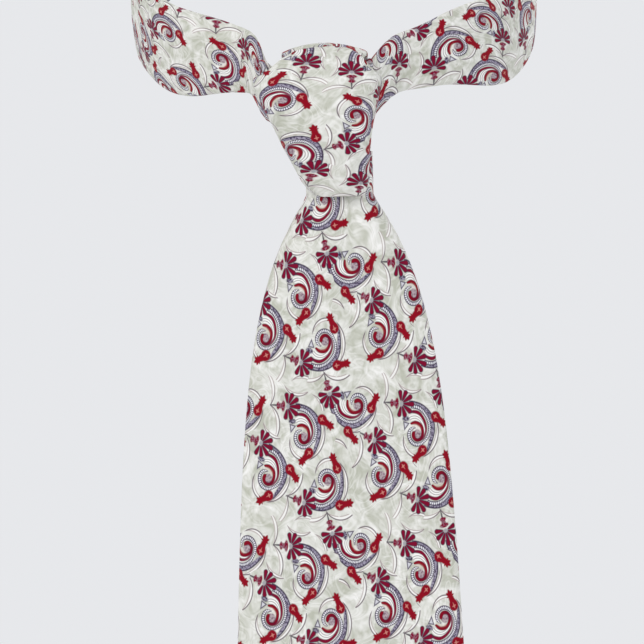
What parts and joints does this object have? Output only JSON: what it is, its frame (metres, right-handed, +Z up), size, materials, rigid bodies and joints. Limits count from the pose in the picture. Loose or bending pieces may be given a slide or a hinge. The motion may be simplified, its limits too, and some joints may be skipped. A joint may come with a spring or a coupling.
{
  "type": "necktie",
  "caption": "Printed silk necktie, worn and tied: folded neck band, tapered knot, pointed front blade and a narrower tail held by a keeper loop.",
  "frame": {"origin": "centre of the neck loop, half way through the collar that it goes round", "axes": "+Z up along the wearer's neck, +X to the right of someone facing the wearer, the tie's front faces -Y"},
  "size_m": [0.1274, 0.1522, 0.5798],
  "materials": {
    "printed_silk": "printed silk twill, soft sheen",
    "interlining_wool": "brushed woven wool, matte",
    "tipping_satin": "plain satin lining",
    "silk_thread": "twisted silk sewing thread",
    "label_satin": "blank woven satin label"
  },
  "bodies": {
    "neck_band": {"neck_gusset_shell": "printed_silk", "blade_leg_shell": "printed_silk", "tail_leg_shell": "printed_silk", "neck_band_interlining": "interlining_wool", "neck_slip_stitch": "silk_thread", "blade_piecing_seam": "silk_thread", "tail_piecing_seam": "silk_thread"},
    "knot": {"knot_front_wrap": "printed_silk", "knot_back_wrap": "printed_silk", "knot_blade_root": "printed_silk", "knot_first_wrap": "printed_silk", "knot_passive_strip": "printed_silk", "knot_top_fold": "printed_silk"},
    "front_blade": {"front_blade_shell": "printed_silk", "front_blade_interlining": "interlining_wool", "front_blade_tipping": "tipping_satin", "front_blade_slip_stitch": "silk_thread", "front_blade_bar_tack": "silk_thread", "keeper_loop": "printed_silk", "keeper_stitch_left": "silk_thread", "keeper_stitch_right": "silk_thread", "blank_label": "label_satin", "tail_lead": "printed_silk"},
    "tail": {"tail_shell": "printed_silk", "tail_interlining": "interlining_wool", "tail_tipping": "tipping_satin", "tail_slip_stitch": "silk_thread", "tail_bar_tack": "silk_thread"}
  },
  "joints": [
    {"name": "knot_slide", "type": "slide", "parent": "neck_band", "child": "knot", "axis": [0, 0, -1], "range_m": [0, 0.04]},
    {"name": "blade_lift", "type": "hinge", "parent": "knot", "child": "front_blade", "pos_m": [0, -0.0737, -0.077], "axis": [-1, 0, 0], "range_deg": [0, 90]},
    {"name": "tail_slide", "type": "slide", "parent": "front_blade", "child": "tail", "axis": [0, 0, 1], "range_m": [0, 0.04], "deforming": ["tail_lead"]}
  ],
  "couplings": [
    {"joint": "tail_slide", "follows": "knot_slide", "ratio": 1}
  ]
}
